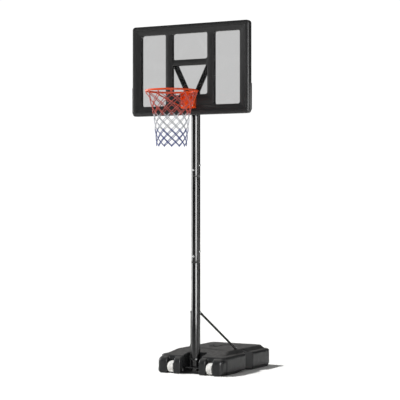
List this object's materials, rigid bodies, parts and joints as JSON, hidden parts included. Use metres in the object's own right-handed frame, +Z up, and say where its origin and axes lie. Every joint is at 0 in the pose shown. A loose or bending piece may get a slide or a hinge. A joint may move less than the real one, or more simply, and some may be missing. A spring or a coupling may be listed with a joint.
{
  "type": "portable basketball hoop",
  "caption": "Wheeled ballast base with a telescoping round steel pole, a framed clear backboard, and a fixed round rim with a net.",
  "frame": {"origin": "on the floor, on the axis of the pole", "axes": "+X across the board to the right as seen by a player, -Y towards the players, +Z up"},
  "size_m": [1.138, 1.413, 2.931],
  "materials": {
    "tank_plastic": "blow-moulded satin",
    "frame_plastic": "moulded satin",
    "trim_plastic": "satin",
    "panel_plastic": "clear gloss",
    "wheel_plastic": "satin",
    "pole_paint": "gloss powder coat",
    "rim_paint": "gloss powder coat",
    "zinc_steel": "zinc plated",
    "seal_rubber": "matt",
    "net_cord": "woven polyester"
  },
  "bodies": {
    "base": {"base_tank": "tank_plastic", "axle_rod": "pole_paint", "axle_washers": "zinc_steel", "pole_strap": "pole_paint", "pole_strap_bolts": "zinc_steel", "pole_foot_cap": "trim_plastic", "strut_left": "pole_paint", "strut_right": "pole_paint", "strut_pole_bolt": "zinc_steel", "strut_foot_bolts": "zinc_steel", "lower_pole": "pole_paint"},
    "left_wheel": {"wheel_left": "wheel_plastic"},
    "right_wheel": {"wheel_right": "wheel_plastic"},
    "cap_seal": {"fill_cap_seal": "seal_rubber"},
    "filler_cap": {"fill_cap": "trim_plastic"},
    "mid_section": {"mid_pole": "pole_paint", "mid_clamp_screws": "zinc_steel"},
    "upper_section": {"upper_pole": "pole_paint", "upper_clamp_screws": "zinc_steel", "pole_top_cap": "trim_plastic", "board_bracket": "pole_paint", "bracket_pole_bolts": "zinc_steel", "board_brace_left": "pole_paint", "board_brace_right": "pole_paint", "brace_spacers": "trim_plastic", "brace_bolts": "zinc_steel", "backboard_frame": "frame_plastic", "backboard_panel": "panel_plastic", "panel_screws": "zinc_steel", "edge_guard_left": "trim_plastic", "edge_guard_right": "trim_plastic", "rim_ring": "rim_paint", "rim_bracket": "rim_paint", "rim_brace_left": "rim_paint", "rim_brace_right": "rim_paint", "net_hooks": "rim_paint", "rim_bolts": "zinc_steel", "rim_nuts": "zinc_steel", "net": "net_cord"}
  },
  "joints": [
    {"name": "left_wheel_spin", "type": "hinge", "parent": "base", "child": "left_wheel", "pos_m": [-0.185, -0.066, 0.054], "axis": [1, 0, 0], "continuous": true},
    {"name": "right_wheel_spin", "type": "hinge", "parent": "base", "child": "right_wheel", "pos_m": [0.185, -0.066, 0.054], "axis": [1, 0, 0], "continuous": true},
    {"name": "cap_lift", "type": "slide", "parent": "base", "child": "cap_seal", "axis": [0, 0, 1], "range_m": [0, 0.008]},
    {"name": "cap_turn", "type": "hinge", "parent": "cap_seal", "child": "filler_cap", "pos_m": [-0.07, 0.41, 0.186], "axis": [0, 0, 1], "range_deg": [0, 720]},
    {"name": "mid_pole_slide", "type": "slide", "parent": "base", "child": "mid_section", "axis": [0, 0, 1], "range_m": [0, 0.35]},
    {"name": "upper_pole_slide", "type": "slide", "parent": "mid_section", "child": "upper_section", "axis": [0, 0, 1], "range_m": [0, 0.35]}
  ],
  "couplings": [
    {"joint": "cap_lift", "follows": "cap_turn", "m_per_rad": 0.00063662}
  ]
}
